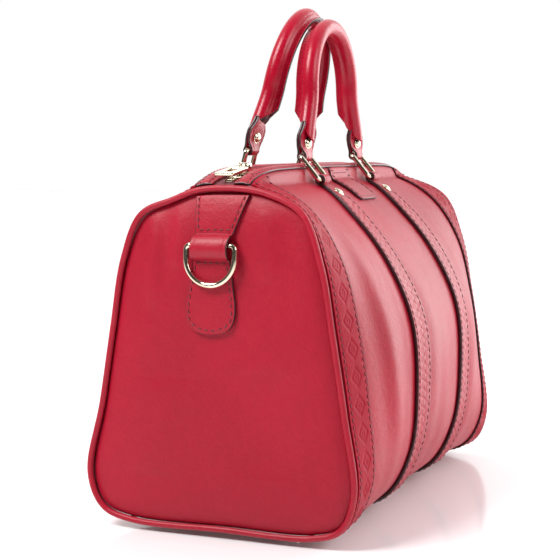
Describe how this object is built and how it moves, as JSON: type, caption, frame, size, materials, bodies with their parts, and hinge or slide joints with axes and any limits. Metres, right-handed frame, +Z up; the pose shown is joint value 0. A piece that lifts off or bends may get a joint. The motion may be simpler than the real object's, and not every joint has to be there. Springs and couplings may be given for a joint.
{
  "type": "handbag",
  "caption": "Zip-top leather bowling handbag with flat end gussets, rolled handles hung on rings and D-rings for a shoulder strap.",
  "frame": {"origin": "on the ground under the middle of the base", "axes": "+X along the bag towards its right end, +Y towards its back, +Z up"},
  "size_m": [0.3634, 0.2246, 0.3753],
  "materials": {
    "body_leather": "smooth semi-gloss calf leather, fine pore grain",
    "trim_leather": "smooth calf leather, stitched, dark painted edges",
    "handle_leather": "smooth semi-gloss calf leather rolled round a cord",
    "gold_hardware": "polished pale gold plating",
    "zip_tape": "woven polyester twill tape",
    "lining": "plain woven cotton lining",
    "handle_cord": "twisted cotton cord",
    "base_board": "pressed fibreboard"
  },
  "bodies": {
    "bag": {"front_panel": "body_leather", "back_panel": "body_leather", "base_panel": "body_leather", "left_gusset": "body_leather", "left_piping": "trim_leather", "left_end_band": "trim_leather", "right_gusset": "body_leather", "right_piping": "trim_leather", "right_end_band": "trim_leather", "front_zip_band": "trim_leather", "front_zip_tape": "zip_tape", "front_zip_teeth": "gold_hardware", "back_zip_band": "trim_leather", "back_zip_tape": "zip_tape", "back_zip_teeth": "gold_hardware", "label_tab": "trim_leather", "left_zip_stop": "gold_hardware", "right_zip_stop": "gold_hardware", "front_left_strap_rivet": "gold_hardware", "back_left_strap_rivet": "gold_hardware", "left_strap": "trim_leather", "front_right_strap_rivet": "gold_hardware", "back_right_strap_rivet": "gold_hardware", "right_strap": "trim_leather", "left_d_ring_tab": "trim_leather", "right_d_ring_tab": "trim_leather", "left_front_foot": "gold_hardware", "left_back_foot": "gold_hardware", "right_front_foot": "gold_hardware", "right_back_foot": "gold_hardware", "base_board": "base_board", "lining": "lining"},
    "front_rings": {"front_left_ring": "gold_hardware", "front_right_ring": "gold_hardware"},
    "front_handle": {"front_handle_cover": "handle_leather", "front_handle_core": "handle_cord", "front_left_handle_tab": "handle_leather", "front_left_handle_rivet": "gold_hardware", "front_right_handle_tab": "handle_leather", "front_right_handle_rivet": "gold_hardware"},
    "back_rings": {"back_left_ring": "gold_hardware", "back_right_ring": "gold_hardware"},
    "back_handle": {"back_handle_cover": "handle_leather", "back_handle_core": "handle_cord", "back_left_handle_tab": "handle_leather", "back_left_handle_rivet": "gold_hardware", "back_right_handle_tab": "handle_leather", "back_right_handle_rivet": "gold_hardware"},
    "left_d_ring_body": {"left_d_ring": "gold_hardware"},
    "right_d_ring_body": {"right_d_ring": "gold_hardware"},
    "slider": {"zip_slider": "gold_hardware"},
    "pull": {"zip_pull": "gold_hardware"}
  },
  "joints": [
    {"name": "front_ring_swing", "type": "hinge", "parent": "bag", "child": "front_rings", "pos_m": [0, -0.0318, 0.24477], "axis": [1, 0, 0], "range_deg": [0, 90]},
    {"name": "front_handle_fold", "type": "hinge", "parent": "front_rings", "child": "front_handle", "pos_m": [0, -0.01727, 0.26208], "axis": [1, 0, 0], "range_deg": [0, 58]},
    {"name": "back_ring_swing", "type": "hinge", "parent": "bag", "child": "back_rings", "pos_m": [0, 0.0318, 0.24477], "axis": [-1, 0, 0], "range_deg": [0, 90]},
    {"name": "back_handle_fold", "type": "hinge", "parent": "back_rings", "child": "back_handle", "pos_m": [0, 0.02595, 0.2666], "axis": [-1, 0, 0], "range_deg": [0, 58]},
    {"name": "left_d_ring_swing", "type": "hinge", "parent": "bag", "child": "left_d_ring_body", "pos_m": [-0.17657, 0, 0.203], "axis": [0, 1, 0], "range_deg": [0, 165]},
    {"name": "right_d_ring_swing", "type": "hinge", "parent": "bag", "child": "right_d_ring_body", "pos_m": [0.17657, 0, 0.203], "axis": [0, -1, 0], "range_deg": [0, 165]},
    {"name": "zip_slide", "type": "slide", "parent": "bag", "child": "slider", "axis": [1, 0, 0], "range_m": [0, 0.255]},
    {"name": "zip_pull_flip", "type": "hinge", "parent": "slider", "child": "pull", "pos_m": [-0.127, 0, 0.2556], "axis": [0, 1, 0], "range_deg": [0, 160]}
  ],
  "couplings": [
    {"joint": "front_ring_swing", "follows": "front_handle_fold", "ratio": 1.5517},
    {"joint": "back_ring_swing", "follows": "back_handle_fold", "ratio": 1.5517}
  ]
}
